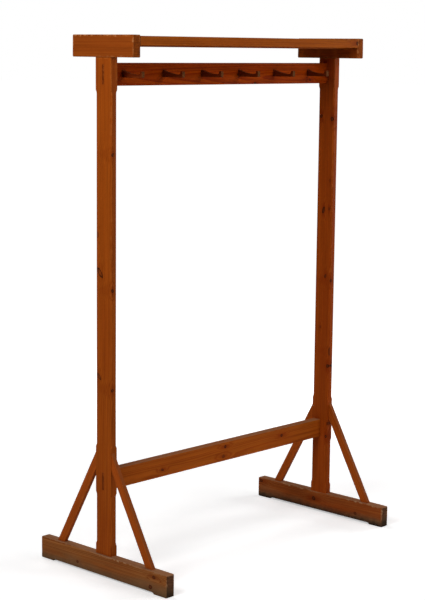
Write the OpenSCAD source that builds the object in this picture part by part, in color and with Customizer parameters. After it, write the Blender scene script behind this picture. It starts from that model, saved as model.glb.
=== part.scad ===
// Free-standing coat rack: two trestle ends, a stretcher, a hook rail with six
// wooden hooks, and a slatted hat shelf held between two cap blocks.
// X runs along the stretcher, -Y is the front (the hooks point that way), Z is up.
// The origin is on the floor, at the centre of the rack.

/* [Overall] */
// Height to the top of the caps
total_h = 1706; // [1550:10:1800]
// Width over the outer faces of the posts
total_w = 1088; // [950:2:1250]

/* [Posts] */
// Post thickness, along X
post_t = 26; // [24:1:32]
// Post depth, along Y
post_d = 70; // [60:1:80]
// Size of the stopped chamfers on the posts
chamfer = 5; // [3:0.5:6]
// Length over which each chamfer runs out
chamfer_run = 13; // [8:1:20]

/* [Feet and caps] */
// Length of a foot, along Y
foot_l = 586; // [480:2:700]
// Height of a foot
foot_h = 72; // [66:1:84]
// Thickness of a foot, along X
foot_t = 33; // [30:1:40]
// Length of the pads that a foot stands on, at its two ends
pad_l = 58; // [40:1:90]
// Height of the pads: the foot is cut away between them
pad_h = 6; // [3:1:10]
// Length of a cap, along Y
cap_l = 272; // [240:1:320]
// Height of a cap
cap_h = 68; // [60:1:80]
// Thickness of a cap, along X
cap_t = 30; // [28:1:36]
// Radius of the corners of feet and caps, seen from the end
corner_r = 4; // [2:0.5:8]

/* [Braces] */
// Brace thickness, along X
brace_t = 14; // [12:1:20]
// Brace width, across its slope
brace_w = 28; // [22:1:34]
// Height of the brace's upper edge where it meets the post
brace_top = 407; // [366:1:446]
// Distance from the post's centre line to the brace's outer edge on the foot
brace_out = 222; // [200:1:240]

/* [Rails] */
// Height of the stretcher's lower edge
stretcher_z = 280; // [256:1:296]
// Height of the stretcher's section
stretcher_h = 64; // [50:1:70]
// Thickness of the stretcher, along Y
stretcher_t = 32; // [22:1:34]
// Height of the hook rail's lower edge
hook_rail_z = 1551; // [1400:1:1566]
// Height of the hook rail's section
hook_rail_h = 70; // [60:1:75]
// Thickness of the hook rail, along Y
hook_rail_t = 22; // [18:1:30]
// Front face of both rails, measured along Y
rail_face_y = -3; // [-6:0.5:0]

/* [Hooks] */
// Distance a hook stands out from the rail
hook_l = 88; // [70:1:100]
// Height of a hook at the rail
hook_h = 23; // [18:1:28]
// Thickness of a hook
hook_t = 11; // [9:0.5:14]
// Distance between hooks
hook_pitch = 175; // [140:1:180]
// Centre of the first hook, measured from the left post's inner face
hook_first = 55; // [40:1:80]
// Height of the hooks' lower edge above the rail's lower edge
hook_up = 25.5; // [20:0.5:32]

/* [Hat shelf] */
// Height of the front and back shelf rails' section
shelf_rail_h = 28; // [24:1:32]
// Thickness of the shelf rails, along Y
shelf_rail_t = 22; // [18:1:26]
// Drop of the shelf rails' top below the caps' top
shelf_drop = 3.5; // [2:0.5:8]
// Gap beside each shelf slat
slat_gap = 8; // [4:1:20]
// Thickness of a shelf slat
slat_t = 18; // [14:1:20]
// Drop of the slats' underside below the shelf rails' underside
slat_drop = 4.5; // [0:0.5:6]

/* [Hidden] */
$fn = 64;
over = 1;

left = -1;
right = 1;
front = -1;
back = 1;

post_x = total_w / 2 - post_t / 2;
post_z0 = foot_h;
post_z1 = total_h - cap_h;
inner_x = total_w / 2 - post_t;

// Posts, feet and caps are flush with each other on the inside of the rack, and the
// braces stand on the middle of the feet
foot_x = inner_x + foot_t / 2;
cap_x = inner_x + cap_t / 2;

// Blind tenons at the ends of a post
foot_tenon = [10, 50, 46];
cap_tenon = [10, 50, 44];

// Through tenons of the rails: thickness along Y, and shoulder above and below
tenon_t = 9;
stretcher_shoulder = 4;
hook_rail_shoulder = 5;

// Stopped chamfers: each stretch is [low end, high end]
above_foot = 31;
under_stretcher = 4;
above_brace = 14;
under_hook_rail = 11;
chamfer_stretches = [
    [foot_h + above_foot, stretcher_z - under_stretcher],
    [brace_top + above_brace, hook_rail_z - under_hook_rail]
];
chamfer_deep = chamfer / sqrt(2);
chamfer_r = (pow(chamfer_run, 2) + pow(chamfer_deep, 2)) / (2 * chamfer_deep);

// Brace: slope of its long edges, and its extent along each cut face
brace_angle = atan2(brace_top - foot_h, brace_out - post_d / 2);
brace_on_foot = brace_w / sin(brace_angle);
brace_on_post = brace_w / cos(brace_angle);

// Dowels at the ends of the braces
dowel_r = 4;
dowel_l = 30;
dowel_in = 15;
post_dowel_up = 15;
foot_dowel_out = 13;
post_dowel_z = brace_top - brace_on_post + post_dowel_up;
foot_dowel_y = brace_out - brace_on_foot + foot_dowel_out;

// Hook tenon and outline
hook_count = 6;
hook_tenon_h = 15;
hook_z = hook_rail_z + hook_up;
hook_x0 = -inner_x + hook_first;
hook_thin = 9;
hook_tip_h = 19.5;
hook_tip_l = 9;
hook_crook_r = 8;
hook_hollow_l = hook_l - hook_tip_l - hook_crook_r;
hook_hollow_r = (pow(hook_hollow_l, 2) + pow(hook_h - hook_thin, 2)) / (2 * (hook_h - hook_thin));
hook_root_angle = -90 - asin(hook_hollow_l / hook_hollow_r);
hook_nose_r = 3;

// Hat shelf
shelf_span = 2 * inner_x;
shelf_z1 = total_h - shelf_drop;
shelf_z0 = shelf_z1 - shelf_rail_h;
stub = 9;
shelf_rail_shoulder = 5;
slat_z = shelf_z0 - slat_drop;
slat_shoulder = 4;
slat_count = 3;
slat_room = cap_l - 2 * shelf_rail_t;
slat_w = (slat_room - (slat_count + 1) * slat_gap) / slat_count;

foot_colour = [0.40, 0.22, 0.11];
post_colour = [0.53, 0.27, 0.09];
rail_colour = [0.48, 0.23, 0.07];
hook_colour = [0.30, 0.12, 0.05];
dowel_colour = [0.72, 0.52, 0.32];

// ---- shapes that repeat ----

// Points along an arc about c, from angle a0 to a1, in n steps
function arc(c, r, a0, a1, n) = [
    for (k = [0 : n])
        let (a = a0 + (a1 - a0) * k / n) c + r * [cos(a), sin(a)]
];

// A board with its low corner at p
module board(p, size) {
    translate(p) cube(size);
}

// A bar that is centred on X and stands on z = z0
module centred_bar(size, z0) {
    translate([-size[0] / 2, -size[1] / 2, z0]) cube(size);
}

// The outline of a bar with round corners, in the YZ plane, thickness t along X
module rounded_bar(length, height, t, r) {
    rotate([90, 0, 90]) translate([0, 0, -t / 2]) linear_extrude(t) {
        translate([-length / 2 + r, 0]) square([length - 2 * r, height]);
        translate([-length / 2, r]) square([length, height - 2 * r]);
        for (y = [-length / 2 + r, length / 2 - r], z = [r, height - r])
            translate([y, z]) circle(r);
    }
}

// Everything that one stopped chamfer removes from the edge along Z at x = y = 0,
// where the wood lies towards -X and -Y
module chamfer_cutter(z0, z1) {
    low = z0 + chamfer_run;
    high = z1 - chamfer_run;
    rotate([0, 0, 45]) translate([-chamfer_deep, 0, 0]) {
        translate([0, -chamfer * 2, low])
            cube([chamfer * 3, chamfer * 4, high - low]);
        for (z = [low, high])
            translate([chamfer_r, 0, z]) rotate([90, 0, 0])
                cylinder(r = chamfer_r, h = chamfer * 4, center = true, $fn = 96);
    }
}

// Every stopped chamfer on a post that stands at x = 0
module post_chamfers() {
    for (flip_x = [0, 1], flip_y = [0, 1], stretch = chamfer_stretches)
        mirror([flip_x, 0, 0]) mirror([0, flip_y, 0])
            translate([post_t / 2, post_d / 2, 0])
                chamfer_cutter(stretch[0], stretch[1]);
}

// The through tenons of a rail, from face to face of the posts, or the mortises
// for them, which run past those faces by extra
module rail_tenon(z0, height, shoulder, extra) {
    board(
        [-total_w / 2 - extra, rail_face_y, z0 + shoulder],
        [total_w + 2 * extra, tenon_t, height - 2 * shoulder]
    );
}

module stretcher_tenon(extra = 0) {
    rail_tenon(stretcher_z, stretcher_h, stretcher_shoulder, extra);
}

module hook_rail_tenon(extra = 0) {
    rail_tenon(hook_rail_z, hook_rail_h, hook_rail_shoulder, extra);
}

// The dowel from a brace into the post, and the one into the foot
module post_dowel(side) {
    translate([0, side * (post_d / 2 - dowel_in), post_dowel_z])
        rotate([-side * 90, 0, 0]) cylinder(r = dowel_r, h = dowel_l);
}

module foot_dowel(side) {
    translate([0, side * foot_dowel_y, foot_h - dowel_in])
        cylinder(r = dowel_r, h = dowel_l);
}

// The stub tenons at both ends of a shelf board
module shelf_tenon(y0, z0, width, height, shoulder) {
    board(
        [-shelf_span / 2 - stub, y0 + shoulder, z0 + shoulder],
        [shelf_span + 2 * stub, width - 2 * shoulder, height - 2 * shoulder]
    );
}

module shelf_rail_tenon(side) {
    y0 = side < 0 ? -cap_l / 2 : cap_l / 2 - shelf_rail_t;
    shelf_tenon(y0, shelf_z0, shelf_rail_t, shelf_rail_h, shelf_rail_shoulder);
}

function slat_y(i) = -slat_room / 2 + slat_gap + i * (slat_w + slat_gap);

module slat_tenon(i) {
    shelf_tenon(slat_y(i), slat_z, slat_w, slat_t, slat_shoulder);
}

function hook_x(i) = hook_x0 + i * hook_pitch;

// The through tenon of hook i, or its mortise, which runs past the rail by extra
module hook_tenon(i, extra = 0) {
    board(
        [
            hook_x(i) - hook_t / 2,
            rail_face_y - extra,
            hook_z + (hook_h - hook_tenon_h) / 2
        ],
        [hook_t, hook_rail_t + 2 * extra, hook_tenon_h]
    );
}

// ---- the wooden pieces ----

// What is cut away under a foot, between its pads: its ends slope at 45 degrees
module pad_gap() {
    half = foot_l / 2 - pad_l;
    rotate([90, 0, 90]) translate([0, 0, -foot_t]) linear_extrude(2 * foot_t) polygon([
        [-half - over, -over],
        [half + over, -over],
        [half - pad_h, pad_h],
        [-half + pad_h, pad_h]
    ]);
}

module foot(side) {
    color(foot_colour) difference() {
        translate([side * foot_x, 0, 0]) difference() {
            rounded_bar(foot_l, foot_h, foot_t, corner_r);
            pad_gap();
            foot_dowel(front);
            foot_dowel(back);
        }
        translate([side * post_x, 0, 0])
            centred_bar(foot_tenon + [0, 0, over], foot_h - foot_tenon[2]);
    }
}

module post(side) {
    color(post_colour) difference() {
        translate([side * post_x, 0, 0]) difference() {
            union() {
                centred_bar([post_t, post_d, post_z1 - post_z0], post_z0);
                centred_bar(foot_tenon + [0, 0, over], foot_h - foot_tenon[2]);
                centred_bar(cap_tenon + [0, 0, over], post_z1 - over);
            }
            post_chamfers();
        }
        translate([side * foot_x, 0, 0]) {
            post_dowel(front);
            post_dowel(back);
        }
        stretcher_tenon(over);
        hook_rail_tenon(over);
    }
}

module brace(side, end) {
    inner = brace_out - brace_on_foot;
    color(rail_colour) translate([side * foot_x, 0, 0]) difference() {
        mirror([0, end < 0 ? 1 : 0, 0]) rotate([90, 0, 90]) translate([0, 0, -brace_t / 2])
            linear_extrude(brace_t) polygon([
                [brace_out, foot_h],
                [post_d / 2, brace_top],
                [post_d / 2, brace_top - brace_on_post],
                [inner, foot_h]
            ]);
        post_dowel(end);
        foot_dowel(end);
    }
}

module brace_dowels() {
    color(dowel_colour) for (side = [left, right], end = [front, back])
        translate([side * foot_x, 0, 0]) {
            post_dowel(end);
            foot_dowel(end);
        }
}

module stretcher() {
    color(rail_colour) {
        board([-inner_x, rail_face_y, stretcher_z], [2 * inner_x, stretcher_t, stretcher_h]);
        stretcher_tenon();
    }
}

module hook_rail() {
    color(rail_colour) difference() {
        union() {
            board(
                [-inner_x, rail_face_y, hook_rail_z],
                [2 * inner_x, hook_rail_t, hook_rail_h]
            );
            hook_rail_tenon();
        }
        for (i = [0 : hook_count - 1]) hook_tenon(i, over);
    }
}

// The side outline of a hook: x runs out from the rail, y runs up. From the tip it
// turns down into the crook, then climbs in one long hollow to the root.
module hook_outline() {
    nose_x = hook_l - hook_nose_r;
    polygon(concat(
        [[0, 0]],
        arc([nose_x, hook_nose_r], hook_nose_r, -90, 0, 6),
        arc([nose_x, hook_tip_h - hook_nose_r], hook_nose_r, 0, 90, 6),
        [[hook_l - hook_tip_l, hook_tip_h]],
        arc([hook_hollow_l, hook_thin + hook_crook_r], hook_crook_r, 0, -90, 12),
        arc([hook_hollow_l, hook_thin + hook_hollow_r], hook_hollow_r, -90, hook_root_angle, 20)
    ));
}

module hook(i) {
    color(hook_colour) {
        translate([hook_x(i) + hook_t / 2, rail_face_y, hook_z])
            rotate([90, 0, -90]) linear_extrude(hook_t) hook_outline();
        hook_tenon(i);
    }
}

module cap(side) {
    color(post_colour) difference() {
        translate([side * cap_x, 0, post_z1]) rounded_bar(cap_l, cap_h, cap_t, corner_r);
        translate([side * post_x, 0, 0])
            centred_bar(cap_tenon + [0, 0, over], post_z1 - over);
        shelf_rail_tenon(front);
        shelf_rail_tenon(back);
        for (i = [0 : slat_count - 1]) slat_tenon(i);
    }
}

module shelf_rail(side) {
    y0 = side < 0 ? -cap_l / 2 : cap_l / 2 - shelf_rail_t;
    color(rail_colour) {
        board([-shelf_span / 2, y0, shelf_z0], [shelf_span, shelf_rail_t, shelf_rail_h]);
        shelf_rail_tenon(side);
    }
}

module slat(i) {
    color(rail_colour) {
        board([-shelf_span / 2, slat_y(i), slat_z], [shelf_span, slat_w, slat_t]);
        slat_tenon(i);
    }
}

foot(left);  // left_foot
foot(right);  // right_foot
post(left);  // left_post
post(right);  // right_post
brace(left, front);  // left_front_brace
brace(left, back);  // left_back_brace
brace(right, front);  // right_front_brace
brace(right, back);  // right_back_brace
brace_dowels();
stretcher();
hook_rail();
hook(0);  // hook_1
hook(1);  // hook_2
hook(2);  // hook_3
hook(3);  // hook_4
hook(4);  // hook_5
hook(5);  // hook_6
cap(left);  // left_cap
cap(right);  // right_cap
shelf_rail(front);  // front_shelf_rail
shelf_rail(back);  // back_shelf_rail
slat(0);  // front_slat
slat(1);  // middle_slat
slat(2);  // back_slat
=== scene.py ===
"""The looks of a free-standing pine coat rack: two trestle ends, a stretcher, a hook rail
with six wooden hooks, and a slatted hat shelf. Everything is in metres, in the row frame:
X runs along the rails, -Y is the front and Z is up."""

import math
from collections import namedtuple

import bmesh
import bpy
from mathutils import Matrix, Vector, noise


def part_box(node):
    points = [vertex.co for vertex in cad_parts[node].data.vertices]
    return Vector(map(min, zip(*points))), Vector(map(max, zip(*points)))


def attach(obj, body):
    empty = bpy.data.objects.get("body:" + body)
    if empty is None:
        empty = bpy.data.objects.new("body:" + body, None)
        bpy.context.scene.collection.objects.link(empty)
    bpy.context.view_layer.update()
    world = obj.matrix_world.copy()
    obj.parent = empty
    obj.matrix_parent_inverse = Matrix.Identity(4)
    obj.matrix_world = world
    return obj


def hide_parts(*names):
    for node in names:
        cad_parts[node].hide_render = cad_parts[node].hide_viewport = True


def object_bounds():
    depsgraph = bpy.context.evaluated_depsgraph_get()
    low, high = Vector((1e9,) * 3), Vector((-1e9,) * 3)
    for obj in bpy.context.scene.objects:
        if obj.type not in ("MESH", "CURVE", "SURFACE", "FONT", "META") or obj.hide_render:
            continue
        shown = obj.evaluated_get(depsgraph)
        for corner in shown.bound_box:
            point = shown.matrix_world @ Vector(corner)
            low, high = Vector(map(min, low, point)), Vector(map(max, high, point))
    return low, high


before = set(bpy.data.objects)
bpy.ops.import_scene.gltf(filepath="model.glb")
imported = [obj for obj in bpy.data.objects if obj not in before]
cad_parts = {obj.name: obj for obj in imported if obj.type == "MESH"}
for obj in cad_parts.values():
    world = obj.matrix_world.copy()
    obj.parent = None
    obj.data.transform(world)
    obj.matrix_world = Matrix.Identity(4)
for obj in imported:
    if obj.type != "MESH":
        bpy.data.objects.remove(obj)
cad_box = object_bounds()

MM = 0.001
X, Y, Z = range(3)
FRONT, BACK = -1, 1
SMALL = 1e-6

# Joints, as in the CAD source
POST_TENON = (10 * MM, 50 * MM)
RAIL_TENON_T = 9 * MM
STRETCHER_SHOULDER = 4 * MM
HOOK_RAIL_SHOULDER = 5 * MM
SHELF_RAIL_SHOULDER = 5 * MM
SLAT_SHOULDER = 4 * MM
SHELF_TENON_L = 10 * MM
HOOK_TENON_H = 15 * MM
GLUE_LINE = 0.25 * MM
OVER = 1 * MM

# Stopped chamfers of the posts, as in the CAD source
CHAMFER = 5 * MM
CHAMFER_RUN = 13 * MM
CHAMFER_ABOVE_FOOT = 31 * MM
CHAMFER_UNDER_STRETCHER = 4 * MM
CHAMFER_ABOVE_BRACE = 14 * MM
CHAMFER_UNDER_HOOK_RAIL = 11 * MM
RUN_STEPS = 6

# Feet, braces and hooks, as in the CAD source
PAD_L = 58 * MM
PAD_H = 6 * MM
BRACE_W = 28 * MM
HOOK_L = 88 * MM
HOOK_ROOT_H = 23 * MM
HOOK_THIN = 9 * MM
HOOK_TIP_H = 19.5 * MM
HOOK_TIP_L = 9 * MM
HOOK_CROOK = 8 * MM
HOOK_NOSE = 3 * MM

# Round corners and eased arrises: what comes off. The arris itself moves in by a share of that,
# which makes the cut a round or a flat.
BLOCK_CORNER = 4 * MM
BLOCK_EASE = 1.0 * MM
BOARD_EASE = 1.0 * MM
HOOK_EASE = 0.8 * MM
ROUND = 0.3
FLAT = 0.5

# Extra wear on the arrises of feet and caps: how much of it is all along them and how much more
# at their ends, how many waves it has in a metre, and its limit as a share of a round corner
FOOT_WEAR = 1.6 * MM
CAP_WEAR = 1.5 * MM
WEAR_ALONG = 0.6
WEAR_AT_ENDS = 0.9
WORN_END_L = 30 * MM
WEAR_WAVES = 22
WEAR_LIMIT = 0.9

# Growth rings: how far they are drawn out along the grain, how much they sway and shake, and how
# many years' width varies or bends round a knot
RING_DRAWN_OUT = 0.16
RING_SWAY = 30 * MM
RING_SHAKE = 1.4 * MM
UNEVEN_YEARS = 1.6
KNOT_PUSH = 1.6
KNOT_FLOW_STRETCH = 3.2

# How far wear reaches in from an arris, how high grime and a darkening reach from the floor, and the relief
WORN_REACH = 4 * MM
GRIME_HEIGHT = 45 * MM
LOW_DARK_HEIGHT = 32 * MM
RELIEF_HEIGHT = 0.6 * MM

# Camera: a long lens, left of the front and a little above the rack's middle. The aim is an
# offset from the middle of the rack's box.
CAMERA_AZIMUTH = -46.44
CAMERA_ELEVATION = 8.80
CAMERA_ROLL = 0.59
CAMERA_DISTANCE = 5.402
CAMERA_LENS = 97.44
CAMERA_AIM = (-0.052, 0.0, -0.0125)

# Soft studio lights: azimuth (0 is in front) and elevation in degrees, power in watts
LIGHT_DISTANCE = 3.2
LIGHT_SIZE = 1.3
LIGHT_AIM_Z = 0.9
LIGHTS = {
    "left_softbox": (-80, 30, 58),
    "front_softbox": (20, 30, 29),
    "right_softbox": (75, 5, 42),
    "back_softbox": (180, 60, 30),
    "rear_softbox": (160, 15, 15),
}
FILL_LIGHT = 0.02

# Floor: its grey, how far it reaches, and a glow that only the camera sees, which makes it as
# white as the backdrop. The glow's two strengths are for the two distances from the rack.
FLOOR_GREY = 0.86
FLOOR_REACH = 60
FLOOR_GLOW = (0.42, 1.0)
FLOOR_GLOW_REACH = (0.9, 2.6)

Box = namedtuple("Box", "low high")
Board = namedtuple("Board", "centre half turn grain")
Knot = namedtuple("Knot", "place through radius stretch lean dark rim")
KnotMarks = namedtuple("KnotMarks", "heart halo flow outline")
Texture = namedtuple("Texture", "fibre streak cloud scuff pores")
# The shares wear, dusty, grime and the darkening near the floor are 0 on clean wood, and figure is how bold
# the grain is
Wood = namedtuple("Wood", "tone red end worn wear dust dusty grime soot rough shine figure")

HOOKS = ["hook_{}".format(k) for k in range(1, 7)]
SHELF_JOINTS = {
    "front_shelf_rail": SHELF_RAIL_SHOULDER,
    "back_shelf_rail": SHELF_RAIL_SHOULDER,
    "front_slat": SLAT_SHOULDER,
    "middle_slat": SLAT_SHOULDER,
    "back_slat": SLAT_SHOULDER,
}


# ---- places ----

def node_box(name):
    """A CAD node's box."""
    low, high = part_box(name)
    return Box(Vector(low), Vector(high))


def box(x0, x1, y0, y1, z0, z1):
    """A box from its extents."""
    return Box(Vector((x0, y0, z0)), Vector((x1, y1, z1)))


def trimmed(part, axis, low, high):
    """A box with new limits along one axis."""
    trim = Box(part.low.copy(), part.high.copy())
    trim.low[axis] = low
    trim.high[axis] = high
    return trim


def grown(part, x, y, z):
    """A box with its faces moved out by x, y and z."""
    amount = Vector((x, y, z))
    return Box(part.low - amount, part.high + amount)


def centred_tenon(part, size, z0, z1):
    """A tenon of a size along X and Y, centred on a part."""
    middle = (part.low + part.high) / 2
    x, y = size[0] / 2, size[1] / 2
    return box(middle.x - x, middle.x + x, middle.y - y, middle.y + y, z0, z1)


# ---- meshes ----

def planes(marks, step):
    """Sorted lattice planes through every mark, with more so that none is over step apart."""
    marks = sorted({round(mark, 7) for mark in marks})
    filled = []
    for low, high in zip(marks, marks[1:]):
        count = max(1, math.ceil((high - low) / step - 0.001))
        filled += [low + (high - low) * k / count for k in range(count)]
    return filled + [marks[-1]]


def holds(part, point):
    """True if the point is inside the box."""
    return all(low < p < high for low, p, high in zip(part.low, point, part.high))


def lattice_cells(lines, wood, holes):
    """The cells between the planes that lie in a box of wood and in no hole."""
    middles = [[(a + b) / 2 for a, b in zip(line, line[1:])] for line in lines]
    cells = set()
    for i, x in enumerate(middles[X]):
        for j, y in enumerate(middles[Y]):
            for k, z in enumerate(middles[Z]):
                point = (x, y, z)
                if any(holds(b, point) for b in wood) and not any(holds(b, point) for b in holes):
                    cells.add((i, j, k))
    return cells


def lattice_mesh(lines, wood, holes, shape):
    """A closed mesh of quads around the lattice's cells. shape(point) moves each corner."""
    cells = lattice_cells(lines, wood, holes)
    bm = bmesh.new()
    corners = {}

    def corner(index):
        if index not in corners:
            point = Vector([lines[axis][index[axis]] for axis in range(3)])
            corners[index] = bm.verts.new(shape(point))
        return corners[index]

    for cell in sorted(cells):
        for axis in range(3):
            for side in (0, 1):
                beyond = list(cell)
                beyond[axis] += 2 * side - 1
                if tuple(beyond) in cells:
                    continue
                loop = []
                for b, c in ((0, 0), (1, 0), (1, 1), (0, 1)):
                    index = list(cell)
                    index[axis] += side
                    index[(axis + 1) % 3] += b
                    index[(axis + 2) % 3] += c
                    loop.append(corner(tuple(index)))
                bm.faces.new(loop if side else loop[::-1])
    return bm


def box_lines(parts, steps, more=((), (), ())):
    """Lattice planes through the faces of every box, and through more marks along each axis."""
    return [
        planes([p.low[axis] for p in parts] + [p.high[axis] for p in parts] + list(more[axis]), steps[axis])
        for axis in range(3)
    ]


def wobble(along, seed, wave):
    """Smooth noise from about -1 to 1 along a board."""
    return noise.noise(Vector((along / wave, seed * 3.71, seed * 1.37)))


def uneven(ease, along, corner, seed, share, wave):
    """What comes off an arris at a place along it: a little more here and less there."""
    return ease * (1 + share * wobble(along, seed + corner[0] + 2 * corner[1], wave))


def worn_ease(ease, seed):
    """A board's arrises: a little round, more here and less there."""
    def at(along, corner):
        return uneven(ease, along, corner, seed, 0.6, 60 * MM), ROUND
    return at


def eased(part, grain, line, ease_at):
    """A shape for a lattice: it takes off a box's four arrises along the grain. line is how far in
    from each arris a lattice plane lies, and that plane slides to where the wood stops being cut."""
    cross = ((grain + 1) % 3, (grain + 2) % 3)

    def side_of(axis, value, inset):
        if abs(value - part.low[axis] - inset) < SMALL:
            return -1
        if abs(value - part.high[axis] + inset) < SMALL:
            return 1
        return 0

    def shape(point):
        at_face = [side_of(axis, point[axis], 0) for axis in cross]
        at_line = [side_of(axis, point[axis], line) for axis in cross]
        place = point.copy()
        if at_face[0] and at_face[1]:
            off, flat = ease_at(point[grain], at_face)
            for axis, side in zip(cross, at_face):
                place[axis] -= side * off * flat
        for face, other in ((0, 1), (1, 0)):
            if at_face[face] and at_line[other]:
                corner = [0, 0]
                corner[face], corner[other] = at_face[face], at_line[other]
                off, _ = ease_at(point[grain], corner)
                place[cross[other]] += at_line[other] * (line - off)
        return place

    return shape


def arris_marks(part, grain, line):
    """The lattice planes that eased() slides, for each axis."""
    marks = [[], [], []]
    for axis in ((grain + 1) % 3, (grain + 2) % 3):
        marks[axis] = [part.low[axis] + line, part.high[axis] - line]
    return marks


def make_piece(node, bm, material, crisp=46):
    """The shown piece for a CAD node, shaded smooth but for edges sharper than crisp, in degrees."""
    mesh = bpy.data.meshes.new(node + "_wood")
    bm.to_mesh(mesh)
    bm.free()
    mesh.shade_smooth()
    mesh.set_sharp_from_angle(angle=math.radians(crisp))
    mesh.materials.append(material)
    piece = bpy.data.objects.new(node + "_wood", mesh)
    bpy.context.scene.collection.objects.link(piece)
    weighted = piece.modifiers.new("even_shading", "WEIGHTED_NORMAL")
    weighted.keep_sharp = True
    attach(piece, "root")
    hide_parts(node)
    return piece


# ---- wood material ----

def srgb(red, green, blue):
    """A linear colour from a display colour in 0 to 255."""
    def linear(value):
        value /= 255
        return value / 12.92 if value <= 0.04045 else ((value + 0.055) / 1.055) ** 2.4
    return (linear(red), linear(green), linear(blue), 1.0)


def shaded(colour, red, green, blue):
    """A colour with its red, green and blue each taken a number of times."""
    return (colour[0] * red, colour[1] * green, colour[2] * blue, 1.0)


class Nodes:
    """Short ways to add shader nodes. Every input may be a number, a vector or another node's output."""

    def __init__(self, owner):
        """Empties the node tree of a material or a world."""
        owner.use_nodes = True
        self.tree = owner.node_tree
        self.tree.nodes.clear()

    def add(self, kind, inputs, **settings):
        """A node with its settings and inputs."""
        node = self.tree.nodes.new(kind)
        for key, value in settings.items():
            setattr(node, key, value)
        for key, value in inputs.items():
            if isinstance(value, bpy.types.NodeSocket):
                self.tree.links.new(value, node.inputs[key])
            else:
                node.inputs[key].default_value = value
        return node

    def math(self, operation, a, b=0.0):
        """Maths on one or two numbers."""
        return self.add("ShaderNodeMath", {0: a, 1: b}, operation=operation).outputs[0]

    def vector(self, operation, a, b=(0, 0, 0)):
        """Maths on one or two vectors: a number for a length or a dot product, else a vector."""
        node = self.add("ShaderNodeVectorMath", {0: a, 1: b}, operation=operation)
        return node.outputs["Value" if operation in ("LENGTH", "DOT_PRODUCT") else "Vector"]

    def scaled(self, vector, scale):
        """A vector times a number."""
        return self.add("ShaderNodeVectorMath", {0: vector, "Scale": scale}, operation="SCALE").outputs[0]

    def parts(self, vector):
        """The x, y and z of a vector."""
        return self.add("ShaderNodeSeparateXYZ", {0: vector}).outputs

    def joined(self, x, y, z=0.0):
        """A vector from its x, y and z."""
        return self.add("ShaderNodeCombineXYZ", {0: x, 1: y, 2: z}).outputs[0]

    def noise(self, vector, scale, detail=2.0, rough=0.5):
        """A noise texture, with about scale waves in a metre."""
        inputs = {"Vector": vector, "Scale": scale, "Detail": detail, "Roughness": rough}
        return self.add("ShaderNodeTexNoise", inputs)

    def rise(self, value, low, high, bottom=0.0, top=1.0):
        """A smooth step from bottom, where the value is low, to top, where it is high."""
        inputs = {"Value": value, "From Min": low, "From Max": high, "To Min": bottom, "To Max": top}
        return self.add("ShaderNodeMapRange", inputs, interpolation_type="SMOOTHSTEP").outputs[0]

    def blend(self, factor, a, b, mode="MIX"):
        """Colour a at factor 0, and colour b at factor 1."""
        inputs = {0: factor, 6: a, 7: b}
        return self.add("ShaderNodeMix", inputs, data_type="RGBA", blend_type=mode).outputs[2]

    def times(self, colour, tone):
        """A colour with all its parts multiplied by a number."""
        grey = self.add("ShaderNodeCombineColor", {0: tone, 1: tone, 2: tone}).outputs[0]
        return self.blend(1.0, colour, grey, "MULTIPLY")


def board_of(part, grain):
    """The board of a box whose grain runs along one axis. Its own axes are the grain, then the
    next two in turn."""
    rows = [[float(axis == (grain + k) % 3) for axis in range(3)] for k in range(3)]
    turn = Matrix(rows)
    half = turn @ ((part.high - part.low) / 2)
    return Board((part.low + part.high) / 2, half, turn, Vector(rows[0]))


def local_place(n, board):
    """The place in the row frame, and on the board: along the grain, then the two ways across it,
    from its centre."""
    row = n.add("ShaderNodeTexCoord", {}).outputs["Object"]
    inputs = {
        "Vector": row,
        "Rotation": board.turn.to_euler("XYZ"),
        "Location": -(board.turn @ board.centre),
    }
    return row, n.add("ShaderNodeMapping", inputs, vector_type="POINT").outputs[0]


def knot_distances(n, row, board, knot):
    """How far the place is from a knot's slanted oval, in knot radii, and the same for the grain
    that parts around it, which reaches further along the board. The outline is a little ragged."""
    through = Vector([float(axis == knot.through) for axis in range(3)])
    across = through.cross(board.grain)
    lean = math.radians(knot.lean)
    long_way = board.grain * math.cos(lean) + across * math.sin(lean)
    short_way = across * math.cos(lean) - board.grain * math.sin(lean)
    ragged = n.noise(row, 0.6 / knot.radius, 2.0).outputs["Color"]
    shaky = n.scaled(n.vector("SUBTRACT", ragged, (0.5, 0.5, 0.5)), knot.radius * 0.8)
    away = n.vector("SUBTRACT", n.vector("ADD", row, shaky), knot.place)

    def oval(first, first_reach, second, second_reach):
        a = n.vector("DOT_PRODUCT", away, tuple(first / first_reach))
        b = n.vector("DOT_PRODUCT", away, tuple(second / second_reach))
        return n.vector("LENGTH", n.joined(a, b))

    near = oval(long_way, knot.radius * knot.stretch, short_way, knot.radius)
    far = oval(board.grain, knot.radius * KNOT_FLOW_STRETCH, across, knot.radius)
    return near, far


def knot_marks(n, row, board, knots):
    """Where knots are, where their dark outlines and the reddish wood round them are, and how far
    off the nearest one is, or None on a clear board."""
    marks = None
    for knot in knots:
        near, far = knot_distances(n, row, board, knot)
        heart = n.rise(near, 0.85, 1.15, knot.dark, 0.0)
        halo = n.rise(far, 0.5, 2.6, 0.8 * knot.dark, 0.0)
        rim = n.rise(near, 0.9, 1.2, knot.rim, 0.0)
        outline = n.math("MULTIPLY", n.rise(near, 0.45, 0.9), rim)
        if marks is None:
            marks = KnotMarks(heart, halo, far, outline)
        else:
            marks = KnotMarks(
                n.math("MAXIMUM", marks.heart, heart), n.math("MAXIMUM", marks.halo, halo),
                n.math("MINIMUM", marks.flow, far), n.math("MAXIMUM", marks.outline, outline),
            )
    return marks


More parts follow.
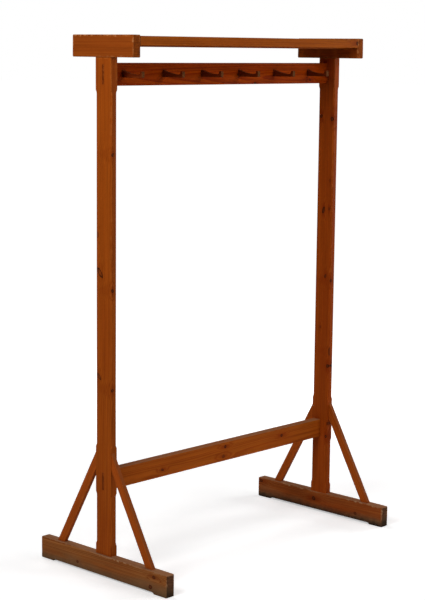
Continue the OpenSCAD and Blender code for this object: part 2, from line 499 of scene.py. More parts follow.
def ring_place(n, here, seed):
    """The place on the board, swayed slowly along the grain and shaken a little."""
    shifted = n.vector("ADD", here, (seed * 1.7, seed * 0.9, seed * 2.3))
    slow = n.vector("MULTIPLY", shifted, (RING_DRAWN_OUT, 1.0, 1.0))
    sway = n.vector("SUBTRACT", n.noise(slow, 7.0, 1.0).outputs["Color"], (0.5, 0.5, 0.5))
    shake = n.vector("SUBTRACT", n.noise(slow, 60.0, 2.0).outputs["Color"], (0.5, 0.5, 0.5))
    moved = n.vector("ADD", n.scaled(sway, RING_SWAY), n.scaled(shake, RING_SHAKE))
    return n.vector("ADD", here, moved)


def late_wood(n, here, seed, pith, ring, marks):
    """Growth rings about a pith that wanders along the board: 0 in early wood, 1 in late wood."""
    along, first, second = (n.parts(ring_place(n, here, seed))[k] for k in range(3))
    lean = n.math("MULTIPLY", along, pith[2])
    radius = n.vector("LENGTH", n.joined(
        n.math("SUBTRACT", n.math("ADD", first, lean), pith[0]),
        n.math("SUBTRACT", second, pith[1]),
    ))
    count = n.math("DIVIDE", radius, ring)
    years = n.add("ShaderNodeTexNoise", {"W": count, "Scale": 0.55, "Detail": 1.0}, noise_dimensions="1D")
    count = n.math("ADD", count, n.math("MULTIPLY", years.outputs[0], UNEVEN_YEARS))
    if marks is not None:
        count = n.math("ADD", count, n.rise(marks.flow, 0.4, 3.4, KNOT_PUSH, 0.0))
    phase = n.math("FRACT", count)
    return n.math("MULTIPLY", n.rise(phase, 0.25, 0.88), n.rise(phase, 0.90, 1.0, 1.0, 0.0))


def surface_texture(n, here, seed):
    """Noises that run along the grain, from fine fibre to wide clouds, and one that doesn't."""
    shifted = n.vector("ADD", here, (seed * 0.61, seed * 1.13, seed * 0.37))

    def drawn_out(share, scale, detail, rough=0.5):
        return n.noise(n.vector("MULTIPLY", shifted, (share, 1.0, 1.0)), scale, detail, rough).outputs[0]

    return Texture(
        fibre=drawn_out(0.012, 900.0, 3.0, 0.6),
        streak=drawn_out(0.05, 95.0, 2.0),
        cloud=drawn_out(0.35, 14.0, 2.0),
        scuff=n.noise(shifted, 70.0, 4.0, 0.65).outputs[0],
        pores=drawn_out(0.05, 1500.0, 0.0),
    )


def grain_colour(n, wood, late, texture, marks):
    """The stained wood: rings, streaks, reddish clouds and the darker wood round knots."""
    bold = wood.figure
    early_tone = shaded(wood.tone, 1 + 0.10 * bold, 1 + 0.14 * bold, 1 + 0.20 * bold)
    late_tone = shaded(wood.tone, 1 - 0.16 * bold, 1 - 0.28 * bold, 1 - 0.38 * bold)
    colour = n.blend(late, early_tone, late_tone)
    colour = n.blend(n.rise(texture.cloud, 0.42, 0.75, 0.0, 0.45), colour, wood.red)
    streak = n.rise(texture.streak, 0.25, 0.75, 1 - 0.10 * bold, 1 + 0.08 * bold)
    tone = n.math("ADD", streak, n.rise(texture.fibre, 0.3, 0.7, -0.05, 0.04))
    tone = n.math("MULTIPLY", tone, n.rise(texture.pores, 0.66, 0.76, 1.0, 0.85))
    colour = n.times(colour, tone)
    if marks is not None:
        colour = n.blend(marks.halo, colour, shaded(wood.red, 0.8, 0.7, 0.6))
    return colour


def end_grain(n, wood, colour, normal, board, late, texture):
    """Adds the darker end grain on the faces that cut across the board, and tells where it is."""
    facing = n.math("ABSOLUTE", n.vector("DOT_PRODUCT", normal, tuple(board.grain)))
    share = n.rise(facing, 0.75, 0.95)
    rings = n.blend(late, shaded(wood.end, 1.15, 1.15, 1.15), shaded(wood.end, 0.75, 0.7, 0.65))
    speckle = n.rise(texture.scuff, 0.3, 0.7, 0.7, 1.2)
    return n.blend(share, colour, n.times(rings, speckle)), share


def arris_distance(n, here, board):
    """Distance to the nearest arris: the middle one of the three distances to the faces."""
    apart = n.vector("SUBTRACT", tuple(board.half), n.vector("ABSOLUTE", here))
    a, b, c = (n.parts(apart)[k] for k in range(3))
    return n.math("MAXIMUM", n.math("MINIMUM", a, b), n.math("MINIMUM", n.math("MAXIMUM", a, b), c))


def worn_arrises(n, wood, colour, here, level, board, texture):
    """Bares paler wood in patches along the arrises, most of it above the board's middle, and
    tells where it is."""
    ragged = n.rise(texture.scuff, 0.3, 0.7, WORN_REACH, -WORN_REACH)
    near = n.rise(n.math("ADD", arris_distance(n, here, board), ragged), 0.0, WORN_REACH, 1.0, 0.0)
    patches = n.rise(texture.cloud, 0.38, 0.6, 0.3 * wood.wear, wood.wear)
    handled = n.rise(level, board.centre.z - 30 * MM, board.centre.z + 10 * MM, 0.25, 1.0)
    share = n.math("MULTIPLY", near, n.math("MULTIPLY", patches, handled))
    return n.blend(share, colour, wood.worn), share


def settled_dust(n, wood, colour, normal, texture):
    """Adds streaks of dust on the faces that look up, and tells where they are."""
    upward = n.rise(n.parts(normal)[2], 0.3, 0.6)
    streaks = n.rise(texture.streak, 0.3, 0.65, 0.6 * wood.dusty, wood.dusty)
    share = n.math("MULTIPLY", upward, streaks)
    return n.blend(share, colour, wood.dust), share


def floor_grime_and_low_dark(n, wood, colour, level, cut, texture):
    """Adds grime that rises unevenly from the floor, and darkens the wood unevenly towards the floor and on
    grimy end grain.
    """
    height = n.math("ADD", level, n.rise(texture.cloud, 0.3, 0.7, -12 * MM, 12 * MM))
    grime = n.math("MULTIPLY", n.rise(height, 5 * MM, GRIME_HEIGHT, 1.0, 0.0), wood.grime)
    colour = n.blend(grime, colour, GRIME)
    height = n.math("ADD", level, n.rise(texture.scuff, 0.3, 0.7, -4 * MM, 4 * MM))
    low = n.math("MULTIPLY", n.rise(height, 0.0, LOW_DARK_HEIGHT, 1.0, 0.0), wood.soot)
    return n.blend(n.math("MAXIMUM", low, n.math("MULTIPLY", grime, cut)), colour, LOW_DARK_COLOUR)


def roughness(n, wood, texture, worn, dust, cut):
    """The varnish's roughness, with matter wood where it is worn, dusty or cut across."""
    rough = n.rise(texture.scuff, 0.2, 0.8, wood.rough - 0.05, wood.rough + 0.08)
    for share, amount in ((worn, 0.2), (dust, 0.25), (cut, 0.15)):
        rough = n.math("ADD", rough, n.math("MULTIPLY", share, amount))
    return rough


def relief(n, late, texture):
    """The bumps of raised late wood, fibre and scuffs."""
    height = n.math("ADD", n.math("MULTIPLY", late, 0.25), n.math("MULTIPLY", texture.fibre, 0.5))
    height = n.math("ADD", height, n.math("MULTIPLY", texture.scuff, 0.35))
    bump = n.add("ShaderNodeBump", {"Height": height, "Strength": 0.3, "Distance": RELIEF_HEIGHT})
    return bump.outputs[0]


def wood_material(name, wood, board, seed, pith, ring, knots=()):
    """Old varnished pine for one board. pith is where the tree's centre lies across the board and
    how it leans along it, and ring is the width of a year."""
    material = bpy.data.materials.new(name)
    n = Nodes(material)
    row, here = local_place(n, board)
    level = n.parts(row)[2]
    normal = n.add("ShaderNodeNewGeometry", {}).outputs["True Normal"]
    marks = knot_marks(n, row, board, knots)
    late = late_wood(n, here, seed, pith, ring, marks)
    texture = surface_texture(n, here, seed)

    colour = grain_colour(n, wood, late, texture, marks)
    colour, cut = end_grain(n, wood, colour, normal, board, late, texture)
    colour, worn = worn_arrises(n, wood, colour, here, level, board, texture)
    colour, dust = settled_dust(n, wood, colour, normal, texture)
    colour = floor_grime_and_low_dark(n, wood, colour, level, cut, texture)
    if marks is not None:
        colour = n.blend(marks.heart, colour, KNOT_HEART)
        colour = n.blend(marks.outline, colour, KNOT_OUTLINE)

    shader = n.add("ShaderNodeBsdfPrincipled", {
        "Base Color": colour,
        "Roughness": roughness(n, wood, texture, worn, dust, cut),
        "Normal": relief(n, late, texture),
        "IOR": 1.5,
        "Specular IOR Level": wood.shine,
    })
    n.add("ShaderNodeOutputMaterial", {"Surface": shader.outputs[0]})
    return material


# Colours, and the kinds of pine that the pieces are made of; the hook rail's and the hooks' tones also hold
# painted shade
KNOT_HEART = srgb(92, 40, 16)
KNOT_OUTLINE = srgb(40, 16, 8)
GRIME = srgb(124, 92, 62)
# The dark colour that the wood is blended towards close to the floor
LOW_DARK_COLOUR = srgb(38, 30, 24)
PINE = Wood(
    tone=srgb(150, 70, 15), red=srgb(139, 58, 12), end=srgb(113, 48, 12),
    worn=srgb(178, 104, 46), wear=0.25, dust=srgb(136, 92, 62), dusty=0.0,
    grime=0.0, soot=0.0, rough=0.5, shine=0.02, figure=1.0,
)
RIGHT_POST_PINE = PINE._replace(tone=srgb(150, 64, 13), red=srgb(138, 50, 9))
BRACE_PINE = PINE._replace(
    tone=srgb(159, 73, 19), red=srgb(147, 62, 15), dust=srgb(104, 68, 42), dusty=0.75,
)
RAIL_PINE = PINE._replace(tone=srgb(161, 77, 17), red=srgb(149, 64, 14), dusty=0.9)
SHELF_PINE = PINE._replace(tone=srgb(163, 80, 14), red=srgb(152, 68, 11), dusty=0.5)
# The hook rail's tone is redder than the other pine: partly its own wood, partly painted shade and red
# bounce light from under the shelf
HOOK_RAIL_PINE_WITH_PAINTED_SHADE = PINE._replace(
    tone=srgb(150, 56, 2), red=srgb(136, 42, 1), dusty=0.3, shine=0.01, figure=1.5,
)
FOOT_PINE = PINE._replace(
    tone=srgb(139, 83, 40), red=srgb(128, 62, 25), end=srgb(96, 62, 42),
    worn=srgb(170, 128, 92), wear=1.0, dust=srgb(142, 99, 70), dusty=0.95,
    grime=0.85, soot=0.4, rough=0.6, figure=1.6,
)
RIGHT_FOOT_PINE = FOOT_PINE._replace(tone=srgb(140, 71, 28), red=srgb(130, 54, 15), soot=0.95)
CAP_PINE = PINE._replace(
    tone=srgb(139, 65, 17), red=srgb(129, 54, 12), end=srgb(140, 66, 14),
    worn=srgb(190, 126, 74), wear=1.0, dusty=0.4,
)
# The hooks' tone is painted much darker than the other pine: painted shade from the shelf and the hook rail
# above them
HOOK_PINE_WITH_PAINTED_SHADE = PINE._replace(
    tone=srgb(92, 32, 6), red=srgb(80, 25, 4), end=srgb(104, 62, 30),
    worn=srgb(128, 76, 38), wear=0.25, dusty=0.25,
)


# ---- posts ----

def chamfer_stretches():
    """The low and high end of each chamfered stretch of a post."""
    foot_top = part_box("left_foot")[1].z
    stretcher_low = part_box("stretcher")[0].z
    brace_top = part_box("left_front_brace")[1].z
    hook_rail_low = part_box("hook_rail")[0].z
    return (
        (foot_top + CHAMFER_ABOVE_FOOT, stretcher_low - CHAMFER_UNDER_STRETCHER),
        (brace_top + CHAMFER_ABOVE_BRACE, hook_rail_low - CHAMFER_UNDER_HOOK_RAIL),
    )


def chamfer_leg(z, stretches):
    """How much of each face a stopped chamfer takes at a height: it runs out in a round scoop."""
    deep = CHAMFER / math.sqrt(2)
    radius = (CHAMFER_RUN ** 2 + deep ** 2) / (2 * deep)
    for low, high in stretches:
        run = min(z - low, high - z, CHAMFER_RUN)
        if run > 0:
            rest = CHAMFER_RUN - run
            return math.sqrt(2) * (deep - radius + math.sqrt(radius ** 2 - rest ** 2))
    return 0.0


def post_ease(seed, stretches):
    """A post's arrises: flat where they are chamfered, a little round elsewhere."""
    def at(along, corner):
        worn = uneven(BOARD_EASE, along, corner, seed, 0.5, 90 * MM)
        leg = chamfer_leg(along, stretches)
        return (leg, FLAT) if leg > worn else (worn, ROUND)
    return at


def rail_mortise(post, rail, shoulder):
    """The slot that a rail's through tenon passes in a post."""
    part = node_box(rail)
    slot = box(
        post.low.x, post.high.x,
        part.low.y, part.low.y + RAIL_TENON_T,
        part.low.z + shoulder, part.high.z - shoulder,
    )
    return grown(slot, OVER, GLUE_LINE, GLUE_LINE)


def make_post(node, wood, foot, cap, seed, knots):
    """A post with blind tenons into its foot and its cap and mortises for both rails."""
    whole = node_box(node)
    body = trimmed(whole, Z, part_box(foot)[1].z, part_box(cap)[0].z)
    tenons = [
        centred_tenon(body, POST_TENON, whole.low.z, body.low.z),
        centred_tenon(body, POST_TENON, body.high.z, whole.high.z),
    ]
    mortises = [
        rail_mortise(body, "stretcher", STRETCHER_SHOULDER),
        rail_mortise(body, "hook_rail", HOOK_RAIL_SHOULDER),
    ]
    stretches = chamfer_stretches()
    marks = arris_marks(body, Z, CHAMFER)
    for low, high in stretches:
        for k in range(RUN_STEPS + 1):
            run = CHAMFER_RUN * k / RUN_STEPS
            marks[Z] += [low + run, high - run]
    inner = [trimmed(m, X, body.low.x, body.high.x) for m in mortises]
    lines = box_lines([body] + tenons + inner, (8 * MM, 15 * MM, 22 * MM), marks)
    ease = eased(body, Z, CHAMFER, post_ease(seed, stretches))
    bm = lattice_mesh(lines, [body] + tenons, mortises, ease)
    pith = (0.030, 0.055, 0.006)
    material = wood_material(node, wood, board_of(body, Z), seed, pith, 3.6 * MM, knots)
    return make_piece(node, bm, material, 40)


# ---- rails and slats ----

def make_rail(node, material, body, tenon, holes=(), seed=0):
    """A board along X with a tenon that runs right through it."""
    marks = arris_marks(body, X, BOARD_EASE)
    inner = [trimmed(hole, Y, body.low.y, body.high.y) for hole in holes]
    lines = box_lines([body, tenon] + inner, (22 * MM, 9 * MM, 12 * MM), marks)
    ease = eased(body, X, BOARD_EASE, worn_ease(BOARD_EASE, seed))
    return make_piece(node, lattice_mesh(lines, [body, tenon], list(holes), ease), material)


def post_rail(node, shoulder):
    """The body and the bare-faced through tenon of a rail between the posts."""
    whole = node_box(node)
    body = trimmed(whole, X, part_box("left_post")[1].x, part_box("right_post")[0].x)
    tenon = trimmed(whole, Y, whole.low.y, whole.low.y + RAIL_TENON_T)
    tenon = trimmed(tenon, Z, whole.low.z + shoulder, whole.high.z - shoulder)
    return body, tenon


def shelf_board(node, shoulder):
    """The body and the stub tenons of a board between the caps."""
    whole = node_box(node)
    body = trimmed(whole, X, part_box("left_cap")[1].x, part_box("right_cap")[0].x)
    return body, grown(whole, 0, -shoulder, -shoulder)


def hook_mortise(node):
    """The slot through the hook rail for a hook's tenon."""
    hook, rail = node_box(node), node_box("hook_rail")
    root_h = hook.high.z - hook.low.z
    shoulder = (root_h - HOOK_TENON_H) / 2
    slot = box(
        hook.low.x, hook.high.x, rail.low.y, rail.high.y,
        hook.low.z + shoulder, hook.low.z + shoulder + HOOK_TENON_H,
    )
    return grown(slot, GLUE_LINE, OVER, GLUE_LINE)


def make_stretcher():
    """The low board between the posts, with the knots of its front face."""
    body, tenon = post_rail("stretcher", STRETCHER_SHOULDER)
    knots = [
        Knot((-0.284, body.low.y, 0.3025), Y, 4 * MM, 1.3, 20, 0.9, 0.9),
        Knot((0.016, body.low.y, 0.3286), Y, 5 * MM, 1.0, 0, 0.95, 1),
        Knot((0.007, body.low.y, 0.2963), Y, 6 * MM, 1.0, 0, 0.6, 0.3),
        Knot((0.306, body.low.y, 0.3200), Y, 5 * MM, 1.1, 0, 0.95, 1),
    ]
    seed, pith = 5, (0.075, -0.030, 0.01)
    material = wood_material("stretcher", RAIL_PINE, board_of(body, X), seed, pith, 4.2 * MM, knots)
    return make_rail("stretcher", material, body, tenon, seed=seed)


def make_hook_rail(hooks):
    """The upper board between the posts, with a mortise for each hook."""
    body, tenon = post_rail("hook_rail", HOOK_RAIL_SHOULDER)
    knots = [
        Knot((0.141, body.low.y, 1.554), Y, 4 * MM, 1.4, 0, 1.0, 1.0),
        Knot((0.423, body.low.y, 1.564), Y, 4 * MM, 1.3, 20, 0.8, 0.8),
    ]
    seed, pith = 6, (0.016, -0.012, 0.03)
    material = wood_material("hook_rail", HOOK_RAIL_PINE_WITH_PAINTED_SHADE, board_of(body, X), seed, pith, 5 * MM, knots)
    holes = [hook_mortise(hook) for hook in hooks]
    return make_rail("hook_rail", material, body, tenon, holes, seed)


def make_shelf():
    """The front and back rails of the hat shelf and the slats between them."""
    for k, node in enumerate(("front_shelf_rail", "back_shelf_rail")):
        seed = 11 + k
        body, tenon = shelf_board(node, SHELF_RAIL_SHOULDER)
        end_mark = Knot((body.high.x - 4 * MM, 0, body.high.z - 13 * MM), Y, 6 * MM, 0.7, 0, 1, 1)
        pith = (0.04, 0.05 - 0.02 * k, 0.01)
        material = wood_material(node, SHELF_PINE, board_of(body, X), seed, pith, 2.6 * MM, [end_mark])
        make_rail(node, material, body, tenon, seed=seed)
    for k, node in enumerate(("front_slat", "middle_slat", "back_slat")):
        seed = 21 + k
        body, tenon = shelf_board(node, SLAT_SHOULDER)
        pith = (0.012 * (k - 1), -0.03 - 0.006 * k, 0.008)
        material = wood_material(node, SHELF_PINE, board_of(body, X), seed, pith, 3.4 * MM)
        make_rail(node, material, body, tenon, seed=seed)


# ---- braces ----

def make_brace(node, end, seed):
    """A slanted board, cut level where it stands on the foot and upright where it meets the post."""
    part = node_box(node)
    out, post_face = (part.high.y, part.low.y) if end == BACK else (-part.low.y, -part.high.y)
    slope = math.atan2(part.high.z - part.low.z, out - post_face)
    on_foot = BRACE_W / math.sin(slope)
    on_post = BRACE_W / math.cos(slope)
    length = math.hypot(out - post_face, part.high.z - part.low.z)
    flat = box(part.low.x, part.high.x, 0, BRACE_W, 0, length)

    def place(point):
        point = ease(point)
        share = point.y / BRACE_W
        foot_end = Vector((point.x, out - on_foot * share, part.low.z))
        post_end = Vector((point.x, post_face, part.high.z - on_post * share))
        spot = foot_end.lerp(post_end, point.z / length)
        spot.y *= end
        return spot

    ease = eased(flat, Z, BOARD_EASE, worn_ease(BOARD_EASE, seed))
    lines = box_lines([flat], (6 * MM, 9 * MM, 18 * MM), arris_marks(flat, Z, BOARD_EASE))
    bm = lattice_mesh(lines, [flat], [], place)
    if end == BACK:
        bmesh.ops.reverse_faces(bm, faces=bm.faces)
    grain = Vector((0, -end * math.cos(slope), math.sin(slope)))
    across = Vector((0, end * math.sin(slope), math.cos(slope)))
    turn = Matrix((grain, across, grain.cross(across)))
    middle = Vector(((part.low.x + part.high.x) / 2, 0, 0))
    middle.y = end * (out + post_face - on_foot / 2) / 2
    middle.z = (part.low.z + part.high.z - on_post / 2) / 2
    board = Board(middle, Vector((length / 2, BRACE_W / 2, (part.high.x - part.low.x) / 2)), turn, grain)
    material = wood_material(node, BRACE_PINE, board, seed, (0.02, 0.02, 0.01), 2.8 * MM)
    return make_piece(node, bm, material)


def finish_dowels():
    """The dowels inside the brace joints keep their CAD shape."""
    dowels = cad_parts["brace_dowels"]
    board = board_of(node_box("brace_dowels"), Z)
    dowels.data.materials.clear()
    dowels.data.materials.append(wood_material("brace_dowels", PINE, board, 31, (0, 0, 0), 2 * MM))


# ---- feet and caps ----

def block_wear(part, point, seed, wear):
    """What comes off a block's arris at a place: uneven, and more near the block's ends."""
    from_end = min(abs(point.y - part.low.y), abs(point.y - part.high.y))
    near_end = 1 - min(1, from_end / WORN_END_L)
    amount = 0.5 + 0.5 * noise.noise(point * WEAR_WAVES + Vector((seed, seed, seed)))
    return BLOCK_EASE + wear * amount * (WEAR_ALONG + WEAR_AT_ENDS * near_end)


def block_shape(part, corner, seed, wear):
    """Rounds a block: its corners as seen along X, then the arrises round both its sides, which are
    worn unevenly. line is how far in the lattice planes lie that cut a round corner into four
    equal angles, and the planes that far from an arris slide to where its wear ends."""
    line = corner * (1 - math.tan(math.radians(22.5)))

    def shape(point):
        low = Vector((0, part.low.y + corner, part.low.z + corner))
        high = Vector((0, part.high.y - corner, part.high.z - corner))
        core = Vector((0, min(max(point.y, low.y), high.y), min(max(point.z, low.z), high.z)))
        away = Vector((0, point.y, point.z)) - core
        reach = max(abs(away.y), abs(away.z))
        side = 0
        if abs(point.x - part.low.x) < SMALL:
            side = -1
        elif abs(point.x - part.high.x) < SMALL:
            side = 1
        place = point.copy()
        inset = corner - reach
        on_line = min(abs(point.x - part.low.x - line), abs(point.x - part.high.x + line)) < SMALL
        worn = min(block_wear(part, point, seed, wear), corner * WEAR_LIMIT)
        if reach > 0:
            if side and inset < SMALL:
                inset = worn * ROUND
                place.x -= side * worn * ROUND
            elif side and abs(inset - line) < SMALL:
                inset = worn
            elif on_line and inset < SMALL:
                nearer = -1 if point.x < (part.low.x + part.high.x) / 2 else 1
                place.x += nearer * (line - worn)
            round_to = away.normalized() * (corner - inset)
            place.y = core.y + round_to.y
            place.z = core.z + round_to.z
        return place

    return shape, line


def padded(part, point):
    """Slants the ends of the relief under a foot: the top corners of its end walls move inward."""
    pad_end = (part.high.y - part.low.y) / 2 - PAD_L
    if abs(point.z - part.low.z - PAD_H) < SMALL and abs(abs(point.y) - pad_end) < SMALL:
        point.y -= math.copysign(PAD_H, point.y)
    return point


def make_block(node, wood, holes, seed, wear, knots=()):
    """A foot or a cap: a thick board along Y with rounded, worn ends."""
    part = node_box(node)
    shape, line = block_shape(part, BLOCK_CORNER, seed, wear)
    end_steps = [step * MM for step in (7, 10, 14, 19, 25)]
    steps = [(line,), (line, BLOCK_CORNER, *end_steps), (line, BLOCK_CORNER)]
    marks = [
        [part.low[axis] + step for step in steps[axis]]
        + [part.high[axis] - step for step in steps[axis]]
        for axis in range(3)
    ]
    inner = [Box(Vector(map(max, h.low, part.low)), Vector(map(min, h.high, part.high))) for h in holes]
    lines = box_lines([part] + inner, (6 * MM, 14 * MM, 9 * MM), marks)
    bm = lattice_mesh(lines, [part], list(holes), lambda point: padded(part, shape(point)))
    pith = (0.055, 0.012, 0.01)
    material = wood_material(node, wood, board_of(part, Y), seed, pith, 3.8 * MM, knots)
    return make_piece(node, bm, material)


def make_foot(node, wood, post, seed, knots=()):
    """A foot, with a mortise for its post and cut away underneath between its pads."""
    part = node_box(node)
    mortise = centred_tenon(node_box(post), POST_TENON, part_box(post)[0].z, part.high.z + OVER)
    relief = Box(part.low - Vector((OVER, -PAD_L, OVER)), part.high - Vector((-OVER, PAD_L, 0)))
    relief.high.z = part.low.z + PAD_H
    return make_block(node, wood, [mortise, relief], seed, FOOT_WEAR, knots)


def make_cap(node, post, seed):
    """A cap, with mortises for its post and for the boards of the shelf."""
    part = node_box(node)
    inward = 1 if part.low.x < 0 else -1
    holes = [centred_tenon(node_box(post), POST_TENON, part.low.z - OVER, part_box(post)[1].z)]
    for board, shoulder in SHELF_JOINTS.items():
        whole = node_box(board)
        tenon = grown(whole, 0, -shoulder, -shoulder)
        stub = trimmed(tenon, X, tenon.low.x, tenon.low.x + SHELF_TENON_L)
        if inward < 0:
            stub = trimmed(tenon, X, tenon.high.x - SHELF_TENON_L, tenon.high.x)
        holes.append(stub)
    return make_block(node, CAP_PINE, holes, seed, CAP_WEAR)


# ---- hooks ----

def hook_heights(out):
    """The lower and upper edge of a hook's outline at a distance out from the rail, above its lowest
    edge: one long hollow down from the root, then up the crook to the tip."""
    nose = max(0.0, out - (HOOK_L - HOOK_NOSE))
    trim = HOOK_NOSE - math.sqrt(max(0.0, HOOK_NOSE ** 2 - nose ** 2))
    hollow_l = HOOK_L - HOOK_TIP_L - HOOK_CROOK
    if out >= HOOK_L - HOOK_TIP_L:
        top = HOOK_TIP_H
    elif out > hollow_l:
        top = HOOK_THIN + HOOK_CROOK - math.sqrt(HOOK_CROOK ** 2 - (out - hollow_l) ** 2)
    else:
        drop = HOOK_ROOT_H - HOOK_THIN
        radius = (hollow_l ** 2 + drop ** 2) / (2 * drop)
        top = HOOK_THIN + radius - math.sqrt(radius ** 2 - (hollow_l - out) ** 2)
    return trim, top - trim


def make_hook(node, seed):
    """A hook sawn to its outline, with a tenon through the hook rail."""
    whole, rail = node_box(node), node_box("hook_rail")
    root = whole.low.z
    arm = box(whole.low.x, whole.high.x, whole.low.y, rail.low.y, root, root + HOOK_ROOT_H)
    shoulder = (HOOK_ROOT_H - HOOK_TENON_H) / 2
    tenon = box(
        whole.low.x, whole.high.x, rail.low.y, whole.high.y,
        root + shoulder, root + shoulder + HOOK_TENON_H,
    )
    crook_out = [HOOK_L - HOOK_TIP_L - HOOK_CROOK * share for share in (0.65, 0.4, 0.2, 0.07, 0)]
    nose_out = [HOOK_L - HOOK_NOSE * share for share in (1, 0.5, 0.15)]
    marks = [[], [rail.low.y - out for out in crook_out + nose_out], []]
    lines = box_lines([arm, tenon], (2.8 * MM, 6 * MM, 4 * MM), marks)

    def shape(point):
        out = rail.low.y - point.y
        if out <= 0:
            return point
        bottom, top = hook_heights(out)
        share = (point.z - root) / HOOK_ROOT_H
        return Vector((point.x, point.y, root + bottom + (top - bottom) * share))

    bm = lattice_mesh(lines, [arm, tenon], [], shape)
    sharp = [e for e in bm.edges if e.is_manifold and e.calc_face_angle() > math.radians(50)]
    bmesh.ops.bevel(
        bm, geom=sharp, offset=HOOK_EASE, segments=2, profile=0.5, affect="EDGES", clamp_overlap=True,
    )
    material = wood_material(node, HOOK_PINE_WITH_PAINTED_SHADE, board_of(arm, Y), seed, (0.02, 0.015, 0.02), 2.6 * MM)
    return make_piece(node, bm, material)


# ---- stage ----

def seen_by_camera(n, otherwise, seen):
    """One number for the camera's own rays, and another for all other light."""
    ray = n.add("ShaderNodeLightPath", {}).outputs["Is Camera Ray"]
    return n.rise(ray, 0.0, 1.0, otherwise, seen)


def make_floor():
    """A wide pale floor, lit so that it is as white as the backdrop but for soft shadows."""
    mesh = bpy.data.meshes.new("floor")
    corners = [(x * FLOOR_REACH, y * FLOOR_REACH, 0) for x, y in ((-1, -1), (1, -1), (1, 1), (-1, 1))]
    mesh.from_pydata(corners, [], [(0, 1, 2, 3)])
    material = bpy.data.materials.new("floor")
    n = Nodes(material)
    away = n.vector("LENGTH", n.add("ShaderNodeTexCoord", {}).outputs["Object"])
    shader = n.add("ShaderNodeBsdfPrincipled", {
        "Base Color": (FLOOR_GREY, FLOOR_GREY, FLOOR_GREY, 1),
        "Roughness": 0.9,
        "Emission Color": (1, 1, 1, 1),
        "Emission Strength": seen_by_camera(n, 0.0, n.rise(away, *FLOOR_GLOW_REACH, *FLOOR_GLOW)),
    })
    n.add("ShaderNodeOutputMaterial", {"Surface": shader.outputs[0]})
    mesh.materials.append(material)
    floor = bpy.data.objects.new("floor", mesh)
    bpy.context.scene.collection.objects.link(floor)


def make_world():
    """A white backdrop that gives only a faint fill light."""
    world = bpy.data.worlds.new("studio")
    n = Nodes(world)
    shine = n.add("ShaderNodeBackground", {
        "Color": (1.0, 1.0, 1.0, 1.0),
        "Strength": seen_by_camera(n, FILL_LIGHT, 1.0),
    })
    n.add("ShaderNodeOutputWorld", {"Surface": shine.outputs[0]})
    bpy.context.scene.world = world


def direction(azimuth, elevation):
    """The way from the rack at an azimuth, 0 in front, and an elevation, in degrees."""
    turn, tilt = math.radians(azimuth), math.radians(elevation)
    return Vector((math.sin(turn) * math.cos(tilt), -math.cos(turn) * math.cos(tilt), math.sin(tilt)))


def make_light(name, azimuth, elevation, power):
    """A square softbox aimed at the rack."""
    data = bpy.data.lights.new(name, "AREA")
    data.shape = "SQUARE"
    data.size = LIGHT_SIZE
    data.energy = power
    light = bpy.data.objects.new(name, data)
    away = direction(azimuth, elevation)
    light.location = Vector((0, 0, LIGHT_AIM_Z)) + away * LIGHT_DISTANCE
    light.rotation_euler = (-away).to_track_quat("-Z", "Y").to_euler()
    bpy.context.scene.collection.objects.link(light)


def make_camera():
    """The camera, turned a little about its own axis."""
    back = direction(CAMERA_AZIMUTH, CAMERA_ELEVATION)
    data = bpy.data.cameras.new("camera")
    data.lens = CAMERA_LENS
    data.sensor_width = 36
    data.clip_end = 200
    camera = bpy.data.objects.new("camera", data)
    camera.rotation_mode = "QUATERNION"
    roll = Matrix.Rotation(math.radians(CAMERA_ROLL), 3, "Z").to_quaternion()
    camera.rotation_quaternion = (-back).to_track_quat("-Z", "Y") @ roll
    middle = (cad_box[0] + cad_box[1]) / 2
    camera.location = middle + Vector(CAMERA_AIM) + back * CAMERA_DISTANCE
    bpy.context.scene.collection.objects.link(camera)
    bpy.context.scene.camera = camera


# ---- the rack ----

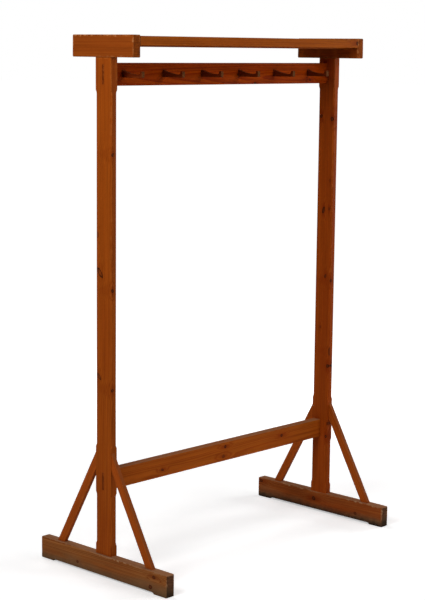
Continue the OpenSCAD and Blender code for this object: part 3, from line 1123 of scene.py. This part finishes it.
POST_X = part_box("right_post")[0].x / 2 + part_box("right_post")[1].x / 2
LEFT_POST_KNOTS = [
    Knot((0, 0.025, 1.094), X, 4 * MM, 2.2, 0, 0.4, 0.4),
    Knot((0, 0.015, 0.976), X, 7 * MM, 2.6, -38, 0.4, 0.9),
    Knot((0, 0.019, 0.647), X, 5 * MM, 2.4, -38, 0.5, 0.8),
    Knot((-POST_X - 6 * MM, 0, 1.343), Y, 4 * MM, 1.3, 10, 0.95, 1),
    Knot((-POST_X - 6 * MM, 0, 0.923), Y, 4 * MM, 1.4, -10, 0.95, 1),
    Knot((-POST_X - 6 * MM, 0, 0.609), Y, 4 * MM, 1.3, 20, 0.95, 1),
]
# The right post's knots, and one painted shadow drawn like a knot
RIGHT_POST_KNOTS_AND_SHADOW = [
    Knot((0, 0.021, 1.435), X, 5 * MM, 1.3, 60, 0.9, 0.9),
    Knot((0, -0.028, 1.427), X, 5.5 * MM, 1.3, 0, 0.9, 0.9),
    Knot((0, 0.002, 1.104), X, 5 * MM, 2.4, 15, 0.95, 0.95),
    Knot((0, -0.023, 1.110), X, 4 * MM, 1.4, 0, 0.6, 0.5),
    Knot((0, -0.025, 1.211), X, 3 * MM, 2.0, 0, 0.4, 0.4),
    Knot((0, -0.012, 0.869), X, 4.5 * MM, 1.4, 30, 0.8, 0.8),
    Knot((0, 0.007, 0.682), X, 3 * MM, 1.5, 0, 0.5, 0.5),
    Knot((POST_X - 7 * MM, 0, 0.854), Y, 4 * MM, 1.3, 0, 0.8, 0.9),
    Knot((0, -0.030, 0.544), X, 5 * MM, 1.2, 15, 0.95, 1),
    Knot((POST_X - 8 * MM, 0, 0.597), Y, 3 * MM, 5.0, 0, 0.6, 0.6),
    # Not a knot: a painted shadow just under the end of the front brace, by the post's front arris
    Knot((0, -0.034, 0.333), X, 2 * MM, 2.5, 0, 0.6, 0.6),
    Knot((0, -0.030, 0.285), X, 4.5 * MM, 1.1, 0, 0.95, 1),
]
LEFT_FOOT_KNOTS = [
    Knot((0, -0.237, 0.055), X, 5 * MM, 1.3, 0, 0.8, 0.8),
    Knot((0, -0.222, 0.021), X, 6 * MM, 1.2, 0, 0.8, 0.8),
    Knot((0, 0.115, 0.024), X, 4 * MM, 1.3, 0, 0.7, 0.7),
]
RIGHT_FOOT_KNOTS = [
    Knot((0, 0.021, 0.044), X, 7 * MM, 1.1, 0, 0.95, 0.95),
    Knot((0, -0.173, 0.027), X, 5 * MM, 1.2, 0, 0.7, 0.7),
    Knot((0, 0.279, 0.060), X, 6 * MM, 1.2, 0, 0.8, 1),
]

make_post("left_post", PINE, "left_foot", "left_cap", 1, LEFT_POST_KNOTS)
make_post("right_post", RIGHT_POST_PINE, "right_foot", "right_cap", 2, RIGHT_POST_KNOTS_AND_SHADOW)
make_foot("left_foot", FOOT_PINE, "left_post", 3, LEFT_FOOT_KNOTS)
make_foot("right_foot", RIGHT_FOOT_PINE, "right_post", 4, RIGHT_FOOT_KNOTS)
make_cap("left_cap", "left_post", 7)
make_cap("right_cap", "right_post", 8)
make_stretcher()
make_hook_rail(HOOKS)
make_shelf()
make_brace("left_front_brace", FRONT, 41)
make_brace("left_back_brace", BACK, 42)
make_brace("right_front_brace", FRONT, 43)
make_brace("right_back_brace", BACK, 44)
for number, hook in enumerate(HOOKS):
    make_hook(hook, 51 + number)
finish_dowels()

make_floor()
make_world()
for name, (azimuth, elevation, power) in LIGHTS.items():
    make_light(name, azimuth, elevation, power)
make_camera()
bpy.context.scene.view_settings.view_transform = "Standard"
